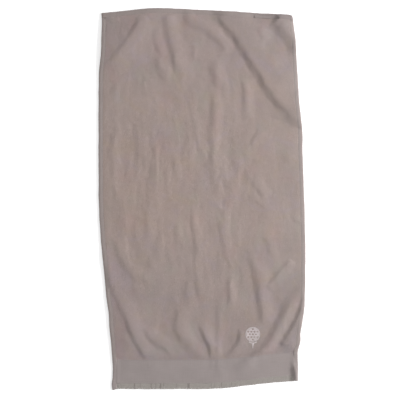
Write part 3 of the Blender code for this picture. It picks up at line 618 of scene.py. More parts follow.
def weave_material(name, base, rib_strength=0.5, streak=0.5, beside=None, painted_shade_from=None):
    m, tree, shader = nodes_of(name)
    g = Graph(tree)
    warp = g.wave(g.uv(0.72 * 6.283 / 3.1416 * 3.1416, 1e6), "X")
    weft = g.wave(g.uv(1e6, 0.95 * 6.283), "Y")
    checks = g.math("MULTIPLY", warp, weft)
    slub = g.noise(g.uv(38.0, 1.3), detail=3.0, rough=0.6)
    ends = g.noise(g.uv(1.1, 46.0), detail=2.0, rough=0.55)
    patches = g.noise(g.uv(60.0, 40.0), detail=3.0)
    tone = g.math("ADD", g.math("MULTIPLY", g.ramp(slub, 0.3, 0.7), 0.38 * streak / 0.5), g.math("MULTIPLY", g.ramp(ends, 0.3, 0.7), 0.22))
    tone = g.math("ADD", tone, g.math("MULTIPLY", g.ramp(patches, 0.3, 0.7), 0.25))
    tone = g.math("ADD", tone, g.math("MULTIPLY", checks, 0.15))
    colour = g.mix(tone, scaled(base, 0.89), scaled(base, 1.12))
    if beside is not None:  # the colour beside the border, from so many millimetres along
        place = g.node("ShaderNodeSeparateXYZ")
        g.link(g.uv(1.0, 1.0), place.inputs[0])
        colour = g.mix(g.ramp(place.outputs[1], beside - 8.0, beside + 8.0), colour, g.mix(tone, scaled(BAND, 0.91), scaled(BAND, 1.14)))
    if painted_shade_from is not None:  # painted shade: darker where the label is pressed into it, and on to the end
        place = g.node("ShaderNodeSeparateXYZ")
        g.link(g.uv(1.0, 1.0), place.inputs[0])
        colour = g.mix(g.ramp(place.outputs[1], painted_shade_from, painted_shade_from + 5.0), colour, (0.90, 0.905, 0.92), "MULTIPLY")
        colour = g.mix(g.ramp(place.outputs[1], painted_shade_from + 30.0, painted_shade_from + 75.0), colour, (0.965, 0.965, 0.975), "MULTIPLY")
    g.link(colour, shader.inputs["Base Color"])
    g.link(g.ramp(patches, 0.3, 0.7, 0.78, 0.92), shader.inputs["Roughness"])
    height = g.math("ADD", checks, g.math("MULTIPLY", slub, 0.8))
    g.link(g.bump(height, rib_strength, 0.0004), shader.inputs["Normal"])
    shader.inputs["Specular IOR Level"].default_value = 0.25
    shader.inputs["Sheen Weight"].default_value = 0.10
    shader.inputs["Sheen Roughness"].default_value = 0.5
    return m


def thread_material(name, base, pitch=1.1, rough=0.6, spread=0.14, sheen=0.15, level=0.3):
    """Twisted thread: the twist runs round and along each thread's own coordinates."""
    m, tree, shader = nodes_of(name)
    g = Graph(tree)
    u = g.node("ShaderNodeUVMap", uv_map="UVMap")
    s = g.node("ShaderNodeSeparateXYZ")
    g.link(u.outputs["UV"], s.inputs[0])
    turned = g.math("ADD", g.math("MULTIPLY", s.outputs[0], 1000.0 * 2 * math.pi / 4.0), g.math("MULTIPLY", s.outputs[1], 1000.0 * 2 * math.pi / pitch))
    twist = g.math("MULTIPLY", g.math("ADD", g.math("SINE", turned), 1.0), 0.5)
    each = g.noise(g.uv(2.5, 9.0), detail=2.0)
    fuzz = g.noise(g.uv(0.35, 0.8), detail=3.0, rough=0.65)
    tone = g.math("ADD", g.math("MULTIPLY", twist, 0.35), g.math("MULTIPLY", g.ramp(each, 0.25, 0.75), 0.40))
    tone = g.math("ADD", tone, g.math("MULTIPLY", fuzz, 0.25))
    g.link(g.mix(tone, scaled(base, 1 - spread), scaled(base, 1 + spread)), shader.inputs["Base Color"])
    g.link(g.ramp(fuzz, 0.2, 0.8, rough - 0.08, min(rough + 0.1, 1.0)), shader.inputs["Roughness"])
    g.link(g.bump(g.math("ADD", twist, g.math("MULTIPLY", fuzz, 0.5)), 0.6, 0.00025), shader.inputs["Normal"])
    shader.inputs["Specular IOR Level"].default_value = level
    shader.inputs["Sheen Weight"].default_value = sheen
    shader.inputs["Sheen Roughness"].default_value = 0.45
    return m


def fleece_material(name, base):
    """Non-woven backing: pressed fibres lying every way, with the dots that bond them."""
    m, tree, shader = nodes_of(name)
    g = Graph(tree)
    fibres = g.noise(g.uv(0.9, 0.9), detail=5.0, rough=0.75, distortion=2.5)
    dots = g.ramp(g.voronoi(g.uv(2.2, 2.2), randomness=0.0), 0.16, 0.26, 0.0, 1.0)
    g.link(g.mix(g.math("MULTIPLY", fibres, dots), scaled(base, 0.80), scaled(base, 1.08)), shader.inputs["Base Color"])
    g.link(g.ramp(fibres, 0.3, 0.7, 0.8, 0.95), shader.inputs["Roughness"])
    g.link(g.bump(g.math("ADD", fibres, dots), 0.5, 0.0003), shader.inputs["Normal"])
    return m


TERRY = terry_material()
WEAVE = weave_material("flat_weave_border", BAND, streak=0.26)
HEM = weave_material("flat_weave_side_hem", (0.300, 0.255, 0.243), rib_strength=0.6, streak=0.3, beside=LENGTH * (T_BAND - T_HEM * 0.9))
# the plain end hem gets painted shade from 372 mm along to its end
END_HEM = weave_material("flat_weave_end_hem", (0.287, 0.241, 0.229), rib_strength=0.6, streak=0.3, painted_shade_from=372.0)
SEWING = thread_material("sewing_thread_taupe", (0.302, 0.252, 0.235), pitch=0.8, rough=0.55)
LABEL_THREAD = thread_material("label_thread_dark", (0.205, 0.172, 0.162), pitch=0.8, rough=0.55)
YARN = thread_material("fringe_yarn_cotton", (0.366, 0.334, 0.312), pitch=1.9, rough=0.85, spread=0.12, sheen=0.2, level=0.15)
# darker yarn for the fringe ends beside the gaps: painted shade
SHADE_YARN = thread_material("fringe_yarn_painted_shade", (0.275, 0.246, 0.229), pitch=1.5, rough=0.85, spread=0.12, sheen=0.15, level=0.15)
SATIN = thread_material("embroidery_satin", (0.50, 0.441, 0.445), pitch=2.6, rough=0.42, spread=0.09, sheen=0.2, level=0.4)
FLEECE = fleece_material("stabiliser_fleece", (0.44, 0.42, 0.40))
TAPE = weave_material("label_tape_satin", (0.56, 0.54, 0.51), rib_strength=0.3, streak=0.3)


def dress(obj, material):
    obj.data.materials.clear()
    obj.data.materials.append(material)
    return obj


# ================================================================ terry cloth
pile = np.random.RandomState(4)


def border_fade(S, T, s0, s1, t0, t1, reach, low_reach=None):
    """0 at the piece's own edge, 1 from reach millimetres inside it."""
    low_reach = low_reach or reach
    d = np.minimum.reduce([(S - s0) * WIDTH / reach, (s1 - S) * WIDTH / reach, (T - t0) * LENGTH / reach, (t1 - T) * LENGTH / low_reach])
    return ease(np.clip(d, 0, 1) * 0.5 + 0.5) * 2 - 1


LAP = 0.9  # the loops at the terry's edge lie over the hem
TS0, TS1, TT0, TT1 = S_HEM - LAP / WIDTH, 1 - S_HEM + LAP / WIDTH, T_HEM - LAP / LENGTH, T_BAND


def terry_top(x, y, S, T):
    full = border_fade(S, T, TS0, TS1, TT0, 9.0, 8.0) * ease((TT1 - T) * LENGTH / 19)
    by_border = ease((T - TT1) * LENGTH / 16 + 1)
    side = ease(1 - np.minimum(S - TS0, TS1 - S) * WIDTH / 9)
    edge = 3.84 - (1.91 - 0.92 * side) * by_border
    loops = 0.14 * noise2(x / 4.2, y / 4.6, 41) + 0.16 * noise2(x / 8.5, y / 9.5, 42)
    return lift(x, y) + edge + (TERRY_T - edge) * full + loops * full


def terry_low(x, y, S, T):
    full = border_fade(S, T, TS0, TS1, TT0, TT1, 2.2)
    return lift(x, y) + 0.4 * (1 - full)


def places(a, b, pitch, size, edge=()):
    """Evenly spread places from a to b about pitch millimetres apart, with extra ones just inside each end."""
    n = int(round((b - a) * size / pitch))
    inner = np.linspace(a, b, n + 1)
    extra = np.array([e / size for e in edge])
    return np.unique(np.concatenate([inner, a + extra, b - extra]).round(7))


terry = two_sided("terry_cloth", places(TS0, TS1, 3.1, WIDTH, (0.8, 1.8)), places(TT0, TT1, 3.1, LENGTH, (0.8, 1.8)), terry_top, terry_low)
dress(terry, TERRY)

# ================================================================ flat-woven border
band = two_sided(
    "flat_woven_border",
    places(TS0, TS1, 3.0, WIDTH, (0.8,)),
    places(T_BAND - 1.2 / LENGTH, T_FRINGE, 1.5, LENGTH, (0.6,)),
    lambda x, y, S, T: lift(x, y) + BAND_T + 0.92 * ease(1 - np.minimum(S - TS0, TS1 - S) * WIDTH / 12) - 0.15 * ease(1 - (T_FRINGE - T) * LENGTH / 2),
    lambda x, y, S, T: lift(x, y) + 0.25,
)
dress(band, WEAVE)


# ================================================================ hems
def hem_strip(name, place, length, depth, thick, seed, taper=(6.0, 6.0)):
    """A turned hem: place(d, run) gives s and t at d millimetres inside the edge and run from 0 to 1."""
    profile = np.array([
        (depth - 0.4, 0.25), (depth, 1.0), (depth - 0.1, 2.6), (depth - 0.7, 3.34), (depth - 1.6, 3.48), (depth - 2.5, 3.54),
        (depth - 4.0, 3.58), (depth * 0.5, 3.6), (2.6, 3.5), (1.1, 3.0), (0.25, 2.2), (0.0, 1.4), (0.35, 0.6),
        (1.4, 0.15), (depth * 0.35, 0.05), (depth * 0.7, 0.05),
    ])  # fmt: skip
    n = int(length / 1.6)
    run = np.linspace(0, 1, n + 1)
    mm_run = run * length
    d = np.broadcast_to(profile[:, 0], (n + 1, len(profile))).copy()
    z = np.broadcast_to(profile[:, 1], (n + 1, len(profile))).copy() * thick / 3.6
    R = np.broadcast_to(mm_run[:, None], d.shape)
    # puckers between the stitches, and a slow unevenness of the turned edge
    pucker = 0.10 * np.cos(R / 3.4 * 2 * math.pi) * bump(d - (depth - 1.8), 2.6)
    if depth == SIDE_HEM:  # the hem is thinner beside the border, where it turns flat-woven cloth
        z = z * (1 - 0.27 * ease((R - length * (T_BAND - T_HEM) / (1 - T_HEM)) / 14))
    wave = 0.16 * noise2(R / 9, d / 5, seed) + 0.12 * noise2(R / 4, d / 3, seed + 1)
    z = z + (pucker + wave) * (z > 1.0)
    d = d + 0.25 * noise2(R / 14, z, seed + 2) * (d > 1) * (d < depth - 0.6)
    # the ends are turned under, so they are lower and rounded
    near = np.minimum(R / taper[0], (length - R) / taper[1])
    z = z * (0.55 + 0.45 * ease(np.clip(near, 0, 1)))
    s, t = place(d, np.broadcast_to(run[:, None], d.shape))
    x, y = laid(s, t)
    z = z + lift(x, y)
    points = np.stack([x, y, z], -1).reshape(-1, 3)
    uv = np.stack([d + 3 * z, R], -1).reshape(-1, 2)
    cols = d.shape[1]
    quads = grid_quads(n + 1, cols, wrap=True)
    first, last = points[:cols].mean(0), points[-cols:].mean(0)
    i = np.arange(cols)
    points = np.vstack([points, first, last])
    uv = np.vstack([uv, uv[0], uv[-1]])
    a, b = len(points) - 2, len(points) - 1
    tris = np.concatenate([
        np.stack([np.full(cols, a), i, (i + 1) % cols], -1),
        np.stack([np.full(cols, b), n * cols + (i + 1) % cols, n * cols + i], -1),
    ])  # fmt: skip
    return new_mesh(name, points, quads, uv, triangles=tris)


def outward(obj):
    """Turns the faces of closed pieces to point out."""
    import bmesh

    work = bmesh.new()
    work.from_mesh(obj.data)
    bmesh.ops.recalc_face_normals(work, faces=work.faces)
    work.to_mesh(obj.data)
    work.free()
    return obj


LONG = LENGTH * (1 - T_HEM)
left_hem = outward(dress(hem_strip("left_side_hem", lambda d, r: (d / WIDTH, T_HEM * 0.9 + (1 - T_HEM * 0.9) * r), LONG, SIDE_HEM, HEM_T, 61, (5, 3)), HEM))
right_hem = outward(dress(hem_strip("right_side_hem", lambda d, r: (1 - d / WIDTH, T_HEM * 0.9 + (1 - T_HEM * 0.9) * r), LONG, SIDE_HEM, HEM_T, 71, (5, 3)), HEM))
top_hem = outward(dress(hem_strip("plain_end_hem", lambda d, r: (r, d / LENGTH), WIDTH * 0.95, TOP_HEM, HEM_T, 81, (4, 4)), END_HEM))


# ================================================================ stitches
def stitch_row(name, place, length, pitch=3.4, long=2.5, radius=0.33, height=3.60, seed=1, wander=0.12):
    lines, radii = [], []
    rnd = np.random.RandomState(seed)
    count = int(length / pitch)
    for i in range(count):
        mid = (i + 0.5) / count
        half = long / 2 / length * rnd.uniform(0.92, 1.06)
        u = mid + half * np.array([-1, -0.82, -0.4, 0.0, 0.4, 0.82, 1])
        off = wander * rnd.uniform(-1, 1) + wander * rnd.uniform(-1, 1) * np.linspace(-1, 1, 7)
        s, t = place(u, off)
        x, y = laid(s, t)
        thin = 0.27 * height * ease((t - T_BAND) * LENGTH / 14) if height > 3 else 0.0
        z = lift(x, y) + height - thin + np.array([-0.42, -0.12, 0.12, 0.18, 0.12, -0.12, -0.42])
        lines.append(np.stack([x, y, z], -1))
        radii.append(radius * np.array([0.55, 0.9, 1, 1, 1, 0.9, 0.55]))
    return outward(dress(tubes(name, lines, radii), SEWING))


D_ROW = SIDE_HEM - 1.6
left_row = stitch_row("left_hem_stitches", lambda u, o: ((D_ROW + o) / WIDTH, T_HEM + (1 - T_HEM - 0.003) * u), LONG, seed=11)
right_row = stitch_row("right_hem_stitches", lambda u, o: (1 - (D_ROW + o) / WIDTH, T_HEM + (1 - T_HEM - 0.003) * u), LONG, seed=12)
top_row = stitch_row("plain_end_stitches", lambda u, o: (0.006 + 0.988 * u, (TOP_HEM - 1.6 + o) / LENGTH), WIDTH * 0.94, seed=13)

# rectangle of stitches that holds the label under the hem
label_low, label_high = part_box("care_label")
LX = (label_low[0] + label_high[0]) / 2 / MM
LY = (label_low[1] + label_high[1]) / 2 / MM
TILT = math.atan2(*(laid(0.86, T_HEM / 2)[k] - laid(0.74, T_HEM / 2)[k] for k in (1, 0)))
LW, LH = 60.0, 8.0


def label_side(name_lines, a, b, pitch=3.0):
    a, b = np.array(a, float), np.array(b, float)
    span = np.hypot(*(b - a))
    count = max(int(span / pitch), 1)
    for i in range(count):
        u = (i + 0.5) / count + np.array([-1, -0.8, -0.4, 0, 0.4, 0.8, 1]) * 1.15 / span
        p = a[None] + (b - a)[None] * u[:, None]
        x = LX + p[:, 0] * math.cos(TILT) - p[:, 1] * math.sin(TILT)
        y = LY + p[:, 0] * math.sin(TILT) + p[:, 1] * math.cos(TILT)
        z = lift(x, y) + HEM_T + 0.05 + np.array([-0.4, -0.08, 0.2, 0.26, 0.2, -0.08, -0.4])
        name_lines.append(np.stack([x, y, z], -1))


label_lines = []
for a, b in (((-LW / 2, -LH / 2), (LW / 2, -LH / 2)), ((LW / 2, -LH / 2), (LW / 2, LH / 2)), ((LW / 2, LH / 2), (-LW / 2, LH / 2)), ((-LW / 2, LH / 2), (-LW / 2, -LH / 2))):
    label_side(label_lines, a, b)
for end, wide in ((-LW / 2 - 0.4, 2.6), (LW / 2 - 1.4, 4.4)):  # a close tack over each end of the label
    for k in np.arange(0.0, wide, 0.62):
        label_side(label_lines, (end + k, -LH / 2 + 0.6 * math.sin(k * 7)), (end + k + 0.2, -LH / 2 + 2.6), pitch=2.5)
        label_side(label_lines, (end + k, -LH / 2 + 2.4), (end + k + 0.2, -LH / 2 + 5.0 + 0.5 * math.sin(k * 5)), pitch=2.5)
label_row = outward(dress(tubes("label_stitches", label_lines, [0.30 * np.array([0.5, 0.9, 1, 1, 1, 0.9, 0.5])] * len(label_lines)), LABEL_THREAD))


# the blank label itself, under the hem
def label_mesh():
    u, v = np.meshgrid(np.linspace(-1, 1, 42), np.linspace(-1, 1, 9))
    px, py = u * 31.0, v * 5.5
    x = LX + px * math.cos(TILT) - py * math.sin(TILT)
    y = LY + px * math.sin(TILT) + py * math.cos(TILT)
    base = np.maximum(lift(x, y) - 0.35, 0.02)
    rows, cols = u.shape
    n = rows * cols
    points = np.concatenate([np.stack([x, y, base + 0.3], -1).reshape(-1, 3), np.stack([x, y, base], -1).reshape(-1, 3)])
    uv = np.concatenate([np.stack([px, py], -1).reshape(-1, 2)] * 2)
    ring = np.concatenate([np.arange(cols), cols - 1 + cols * np.arange(1, rows), (rows - 1) * cols + np.arange(cols - 2, -1, -1), cols * np.arange(rows - 2, 0, -1)])
    after = np.roll(ring, -1)
    quads = np.concatenate([grid_quads(rows, cols), grid_quads(rows, cols, first=n, flip=True), np.stack([ring, after, after + n, ring + n], -1)])
    return outward(dress(new_mesh("blank_label", points, quads, uv), TAPE))


label = label_mesh()


# ================================================================ fringe and its lock stitches
def fringe_mesh():
    """Cut warp ends: a matted lower layer with a second one over it, a little gathered into bundles."""
    rnd = np.random.RandomState(31)
    lines, radii, dark = [], [], []
    s0, s1 = S_HEM - 0.0030, 1 - S_HEM + 0.0060
    across = (s1 - s0) * WIDTH
    # places where the ends part and the shadow between them shows, in millimetres from the middle
    gaps = np.array([-195.5, -193.5, -178, -150, -148, -137.5, -135.5, -124.5, -122.5, -114.5, -79.5, -48.5, -46.5, -44, 17, 25, 44.5, 72])
    for layer, pitch, height, thick in ((0, 1.02, 0.62, 0.60), (1, 1.12, 1.30, 0.58)):
        count = int(across / pitch)
        lean = np.cumsum(rnd.normal(0, 0.16, count))
        lean = lean - np.convolve(lean, np.ones(15) / 15, "same")
        for i in range(count):
            a = s0 + (s1 - s0) * (i + 0.5) / count
            x_mm = a * WIDTH - WIDTH / 2
            away = x_mm - gaps
            nearest = away[np.abs(away).argmin()]
            push = -np.sign(nearest) * 0.5 * math.exp(-((nearest / 1.6) ** 2)) if layer else 0.0
            # ends beside a gap get the darker yarn: painted shade, standing in for the shadow between the parted ends
            dark.append(abs(nearest) < 0.95)
            b = a + (1.3 * lean[i] + push + rnd.normal(0, 0.22)) / WIDTH
            long = FRINGE_LENGTH + 0.4 + rnd.normal(0, 0.35) - 0.8 * (1 - layer) + 0.8 * ease((x_mm - 150) / 80)
            u = np.linspace(0, 1, 8)
            s = a + (b - a) * ease(u) + 0.22 / WIDTH * np.sin(u * 6 + rnd.uniform(0, 6))
            s = np.clip(s, s0 - 0.0005, s1 + 0.0005)
            t = T_FRINGE + (-1.6 + (long + 1.6) * u) / LENGTH
            x, y = laid(s, t)
            z = lift(x, y) + height + 0.12 * np.sin(u * 5 + rnd.uniform(0, 6)) - 0.25 * u * layer + rnd.uniform(-0.08, 0.12)
            lines.append(np.stack([x, y, z], -1))
            radii.append(thick * np.array([0.8, 1, 1, 1, 1, 1.0, 1.02, 0.75]) * rnd.uniform(0.92, 1.06))
    # a few stray ends that hang lower than the rest
    for place, drop, side in ((203, 4.2, 2.2), (206.5, 3.0, -1.5), (117, 3.4, 1.0), (262, 2.6, -2.0), (388, 3.2, 1.2), (450, 2.2, -1.0), (161, 1.8, 1.5)):
        u = np.linspace(0, 1, 9)
        s = place / WIDTH + side * ease(u) / WIDTH
        t = T_FRINGE + (FRINGE_LENGTH - 6.0 + (4.6 + drop) * u) / LENGTH
        x, y = laid(s, t)
        lines.append(np.stack([x, y, lift(x, y) + 0.75 - 0.2 * u], -1))
        radii.append(0.34 * np.array([0.8, 1, 1, 1, 1, 1, 1, 0.9, 0.6]))
        dark.append(False)
    obj = dress(tubes("fringe_warp_ends", lines, radii, sides=6), YARN)
    obj.data.materials.append(SHADE_YARN)
    # faces come as all the sides, thread by thread, then all the ends, thread by thread
    index = []
    for line, in_shade in zip(lines, dark, strict=True):
        index += [int(in_shade)] * (6 * (len(line) - 1))
    for in_shade in dark:
        index += [int(in_shade)] * 12
    obj.data.polygons.foreach_set("material_index", index)
    return outward(obj)


fringe = fringe_mesh()
lock_row = stitch_row(
    "fringe_lock_stitches",
    lambda u, o: (S_HEM + 0.004 + (1 - 2 * S_HEM - 0.008) * u, T_FRINGE - (2.0 + o) / LENGTH),
    WIDTH * 0.9, pitch=2.6, long=2.2, radius=0.24, height=BAND_T - 0.14, seed=14, wander=0.5,
)
dress(lock_row, YARN)  # fmt: skip


# ================================================================ embroidery
ball_low, ball_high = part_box("motif_ball")
MX = (ball_low[0] + ball_high[0]) / 2 / MM
BY = (ball_low[1] + ball_high[1]) / 2 / MM
tee_low, tee_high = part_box("motif_tee")


def satin(name, spans, pitch, radius, flat=0.62, raise_by=0.55):
    """spans: (x0, x1, y) rows of satin stitch."""
    lines, radii = [], []
    rnd = np.random.RandomState(51)
    for x0, x1, y0 in spans:
        long = x1 - x0
        if long < 0.9:
            continue
        n = max(int(long / 2.2), 3) + 2
        x = np.linspace(x0 + rnd.normal(0, 0.12), x1 + rnd.normal(0, 0.12), n)
        y = y0 + 0.10 * rnd.normal(size=1) + 0.05 * np.sin(x)
        u = np.linspace(0, 1, n)
        arch = np.minimum(1, np.minimum(u, 1 - u) * long / 1.6)
        z = lift(x, y) + TERRY_T + raise_by * ease(arch) - 0.55 + 0.06 * rnd.normal()
        lines.append(np.stack([x, y + 0 * x, z], -1))
        radii.append(radius * (0.6 + 0.4 * ease(arch * 1.5)) * rnd.uniform(0.93, 1.07))
    return outward(dress(tubes(name, lines, radii, sides=8, flat=flat), SATIN))


def rows_with_holes(shape, holes, y0, y1, pitch):
    """Rows of a shape given as (x0, x1) for a y, broken at round holes (x, y, r)."""
    out = []
    for y in np.arange(y0 + pitch / 2, y1, pitch):
        span = shape(y)
        if span is None:
            continue
        pieces = [span]
        for hx, hy, r in holes:
            h = r * r - (y - hy) ** 2
            if h <= 0:
                continue
            h = math.sqrt(h)
            cut = []
            for a, b in pieces:
                if hx + h <= a or hx - h >= b:
                    cut.append((a, b))
                else:
                    if hx - h > a:
                        cut.append((a, hx - h))
                    if hx + h < b:
                        cut.append((hx + h, b))
            pieces = cut
        out += [(a, b, y) for a, b in pieces]
    return out


def thread_run(points, pitch, width, seed, height=0.0, radius=0.46):
    """Satin stitches side by side along a curve, each across it, width millimetres wide."""
    rnd = np.random.RandomState(seed)
    curve = smooth_line(points, 24)
    run = np.concatenate([[0], np.cumsum(np.hypot(*np.diff(curve, axis=0).T))])
    count = max(int(run[-1] / pitch), 2)
    at = (np.arange(count) + 0.5) / count * run[-1]
    cx, cy = np.interp(at, run, curve[:, 0]), np.interp(at, run, curve[:, 1])
    tx, ty = np.gradient(cx), np.gradient(cy)
    size = np.hypot(tx, ty) + 1e-9
    nx, ny = -ty / size, tx / size
    lines, radii = [], []
    for k in range(count):
        w = (width(at[k] / run[-1]) if callable(width) else width) * rnd.uniform(0.94, 1.05)
        if w < 0.8:
            continue
        u = np.linspace(-0.5, 0.5, 7)
        x, y = cx[k] + nx[k] * u * w, cy[k] + ny[k] * u * w
        arch = np.array([-0.55, -0.08, 0.12, 0.2, 0.12, -0.08, -0.55])
        z = lift(x, y) + TERRY_T + 0.1 + height + arch + 0.04 * rnd.normal()
        lines.append(np.stack([x, y, z], -1))
        radii.append(radius * np.array([0.6, 0.95, 1, 1, 1, 0.95, 0.6]) * rnd.uniform(0.94, 1.06))
    return lines, radii


def fill_rows(shape, y0, y1, pitch, seed, tilt=0.0, radius=0.30):
    """An open fill of running stitches, with the terry showing between its rows."""
    rnd = np.random.RandomState(seed)
    lines, radii = [], []
    for y in np.arange(y0 + pitch / 2, y1, pitch):
        span = shape(y)
        if span is None or span[1] - span[0] < 2.0:
            continue
        n = max(int((span[1] - span[0]) / 1.6), 4)
        x = np.linspace(span[0], span[1], n) + rnd.uniform(-0.2, 0.2)
        yy = y + tilt * (x - MX) + 0.10 * rnd.normal(size=n)
        z = lift(x, yy) + TERRY_T - 0.22 + 0.14 * np.sin(np.arange(n) * 2.3 + rnd.uniform(0, 6))
        z[0] -= 0.3
        z[-1] -= 0.3
        lines.append(np.stack([x, yy, z], -1))
        radii.append(radius * np.ones(n))
    return lines, radii


def ball_shape(y):
    h = (BALL_R - 1.6) ** 2 - (y - BY) ** 2
    return (MX - math.sqrt(h), MX + math.sqrt(h)) if h > 0.5 else None


def arc(cx, cy, r, a0, a1, n=9):
    a = np.radians(np.linspace(a0, a1, n))
    return [(cx + r * math.cos(k), cy + r * math.sin(k)) for k in a]


def embroidered_ball():
    """Close satin rows broken at the dimples, where the terry shows; the shaded side is more open."""
    parts = [thread_run(arc(MX, BY, BALL_R - 1.2, 90, 450, 25), 0.80, 2.0, 51, 0.12)]
    rnd = np.random.RandomState(52)
    dimples = []
    for row in range(-2, 3):
        for col in range(-2, 3):
            dx, dy = (col + (0.5 if row % 2 else 0.0)) * 7.6, row * 6.6
            if math.hypot(dx, dy) < BALL_R - 3.6:
                dimples.append((dx, dy, 2.15 if dx - dy < 4 else 1.7))
    lines, radii = [], []
    y = -BALL_R + 2.6
    while y < BALL_R - 2.4:
        h = math.sqrt(max((BALL_R - 2.3) ** 2 - y * y, 0))
        spans = [(-h, h)]
        for dx, dy, r in dimples:
            k = r * r - (y - dy) ** 2
            if k > 0:
                k = math.sqrt(k)
                spans = [c for a, b in spans for c in (((a, b),) if dx + k <= a or dx - k >= b else tuple(q for q in ((a, dx - k), (dx + k, b)) if q[1] > q[0]))]
        for a, b in spans:
            if b - a < 0.9:
                continue
            n = max(int((b - a) / 1.5), 3) + 2
            x = np.linspace(a + rnd.normal(0, 0.1), b + rnd.normal(0, 0.1), n)
            u = np.linspace(0, 1, n)
            arch = np.minimum(1, np.minimum(u, 1 - u) * (b - a) / 1.4)
            px, py = MX + x, BY + y + 0.05 * rnd.normal(size=n)
            z = lift(px, py) + TERRY_T - 0.35 + 0.42 * ease(arch) + 0.05 * rnd.normal()
            lines.append(np.stack([px, py, z], -1))
            radii.append(0.46 * (0.6 + 0.4 * ease(arch * 1.5)) * rnd.uniform(0.92, 1.06))
        y += 0.84 if y > -7 else 1.05
    parts.append((lines, radii))
    lines = [line for part in parts for line in part[0]]
    radii = [r for part in parts for r in part[1]]
    return outward(dress(tubes("embroidered_ball", lines, radii, sides=8, flat=0.66), SATIN))


ball = embroidered_ball()
TEE_TOP = BY - BALL_R - 1.5


def embroidered_tee():
    cup = thread_run([(MX - 9.4, TEE_TOP + 1.6), (MX - 6.8, TEE_TOP - 0.4), (MX, TEE_TOP - 1.8), (MX + 6.8, TEE_TOP - 0.4), (MX + 9.4, TEE_TOP + 1.6)], 0.80, 3.0, 71, 0.1)
    stem = thread_run([(MX, TEE_TOP - 2.6), (MX, TEE_TOP - 8), (MX, TEE_TOP - 15.0)], 0.80, lambda u: 5.0 * (1 - u) ** 2.4 + 3.0 - 1.4 * u, 72, 0.05)
    return outward(dress(tubes("embroidered_tee", cup[0] + stem[0], cup[1] + stem[1], sides=8, flat=0.66), SATIN))


tee = embroidered_tee()

backing_low, backing_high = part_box("motif_backing")


def backing_mesh():
    cx, cy = (backing_low[0] + backing_high[0]) / 2 / MM, (backing_low[1] + backing_high[1]) / 2 / MM
    u, v = np.meshgrid(np.linspace(-1, 1, 34), np.linspace(-1, 1, 40))
    rnd = 0.5 * noise2(u * 9, v * 11, 91)
    x, y = cx + u * 25.0 + rnd * (np.abs(u) > 0.9), cy + v * 30.0 + rnd * (np.abs(v) > 0.9)
    top = lift(x, y) + 0.15
    rows, cols = u.shape
    n = rows * cols
    low = np.maximum(top - 0.5, 0.02)
    points = np.concatenate([np.stack([x, y, top], -1).reshape(-1, 3), np.stack([x, y, low], -1).reshape(-1, 3)])
    uv = np.concatenate([np.stack([x, y], -1).reshape(-1, 2)] * 2)
    ring = np.concatenate([np.arange(cols), cols - 1 + cols * np.arange(1, rows), (rows - 1) * cols + np.arange(cols - 2, -1, -1), cols * np.arange(rows - 2, 0, -1)])
    after = np.roll(ring, -1)
    quads = np.concatenate([grid_quads(rows, cols), grid_quads(rows, cols, first=n, flip=True), np.stack([ring, after, after + n, ring + n], -1)])
    return outward(dress(new_mesh("embroidery_backing", points, quads, uv), FLEECE))


backing = backing_mesh()

# ================================================================ bodies and what each piece stands for
for piece, nodes in (
    (terry, ("terry_panel_upper", "terry_panel_lower")),
    (left_hem, ("left_hem_upper", "left_hem_lower")),
    (right_hem, ("right_hem_upper", "right_hem_lower")),
    (left_row, ("left_hem_stitching_upper", "left_hem_stitching_lower")),
    (right_row, ("right_hem_stitching_upper", "right_hem_stitching_lower")),
):
    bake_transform(piece)
    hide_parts(*nodes)
for piece, body, node in (
    (top_hem, "upper_half", "top_hem"),
    (top_row, "upper_half", "top_hem_stitching"),
    (label, "upper_half", "care_label"),
    (label_row, "upper_half", "care_label_stitching"),
    (band, "lower_half", "border_band"),
    (fringe, "lower_half", "border_fringe"),
    (lock_row, "lower_half", "fringe_lock_stitching"),
    (ball, "lower_half", "motif_ball"),
    (tee, "lower_half", "motif_tee"),
    (backing, "lower_half", "motif_backing"),
):
    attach(piece, body)
    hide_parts(node)
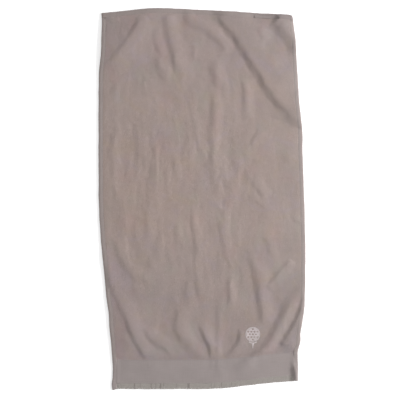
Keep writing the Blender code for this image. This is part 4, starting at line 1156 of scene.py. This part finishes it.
for pieces, slot in (
    ((terry,), "terry"),
    ((band, top_hem, left_hem, right_hem), "flat_weave"),
    ((fringe,), "fringe_yarn"),
    ((left_row, right_row, top_row, label_row, lock_row), "sewing_thread"),
    ((ball, tee), "embroidery_thread"),
    ((backing,), "stabiliser"),
    ((label,), "label_tape"),
):
    for piece in pieces:
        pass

# ================================================================ floor, light and camera
bpy.ops.mesh.primitive_plane_add(size=80, location=(0, 0, -0.0004))
floor = bpy.context.object
floor.name = "table_top"
m, tree, shader = nodes_of("plain_pale_floor")
shader.inputs["Base Color"].default_value = (0.93, 0.93, 0.93, 1)
shader.inputs["Emission Color"].default_value = (1, 1, 1, 1)
shader.inputs["Emission Strength"].default_value = 0.30
shader.inputs["Roughness"].default_value = 0.9
shader.inputs["Specular IOR Level"].default_value = 0.1
dress(floor, m)

# a white studio, a little darker overhead than round the sides
world = bpy.data.worlds.new("studio")
bpy.context.scene.world = world
world.use_nodes = True
g = Graph(world.node_tree)
background = world.node_tree.nodes["Background"]
direction = g.node("ShaderNodeTexCoord")
split = g.node("ShaderNodeSeparateXYZ")
g.link(direction.outputs["Generated"], split.inputs[0])
g.link(g.ramp(split.outputs[2], 0.10, 0.60, 1.0, 0.62), background.inputs["Strength"])
background.inputs["Color"].default_value = (1.0, 1.0, 1.0, 1.0)


def area(name, place, size, power, aim=(0, 0, 0), colour=(1, 1, 1)):
    data = bpy.data.lights.new(name, "AREA")
    data.shape = "DISK"
    data.size = size
    data.energy = power
    data.color = colour
    obj = bpy.data.objects.new(name, data)
    obj.location = place
    obj.rotation_mode = "QUATERNION"
    obj.rotation_quaternion = (Vector(place) - Vector(aim)).to_track_quat("Z", "Y")
    bpy.context.scene.collection.objects.link(obj)
    return obj


area("key", (2.66, 0.30, 1.36), 1.0, 98)

camera = bpy.data.cameras.new("camera")
camera.lens, camera.sensor_width = 108.0, 36.0
camera.clip_start, camera.clip_end = 0.1, 100
cam = bpy.data.objects.new("camera", camera)
cam.location = (-0.0052, -0.0041, 3.0)
cam.rotation_euler = (0, 0, 0)
bpy.context.scene.collection.objects.link(cam)
bpy.context.scene.camera = cam
bpy.context.scene.view_settings.view_transform = "Standard"
bpy.context.scene.view_settings.look = "None"

flat_area = (WIDTH - 2 * SIDE_HEM) * (LENGTH - TOP_HEM - FRINGE_LENGTH - BAND_HEIGHT) * 1e-6
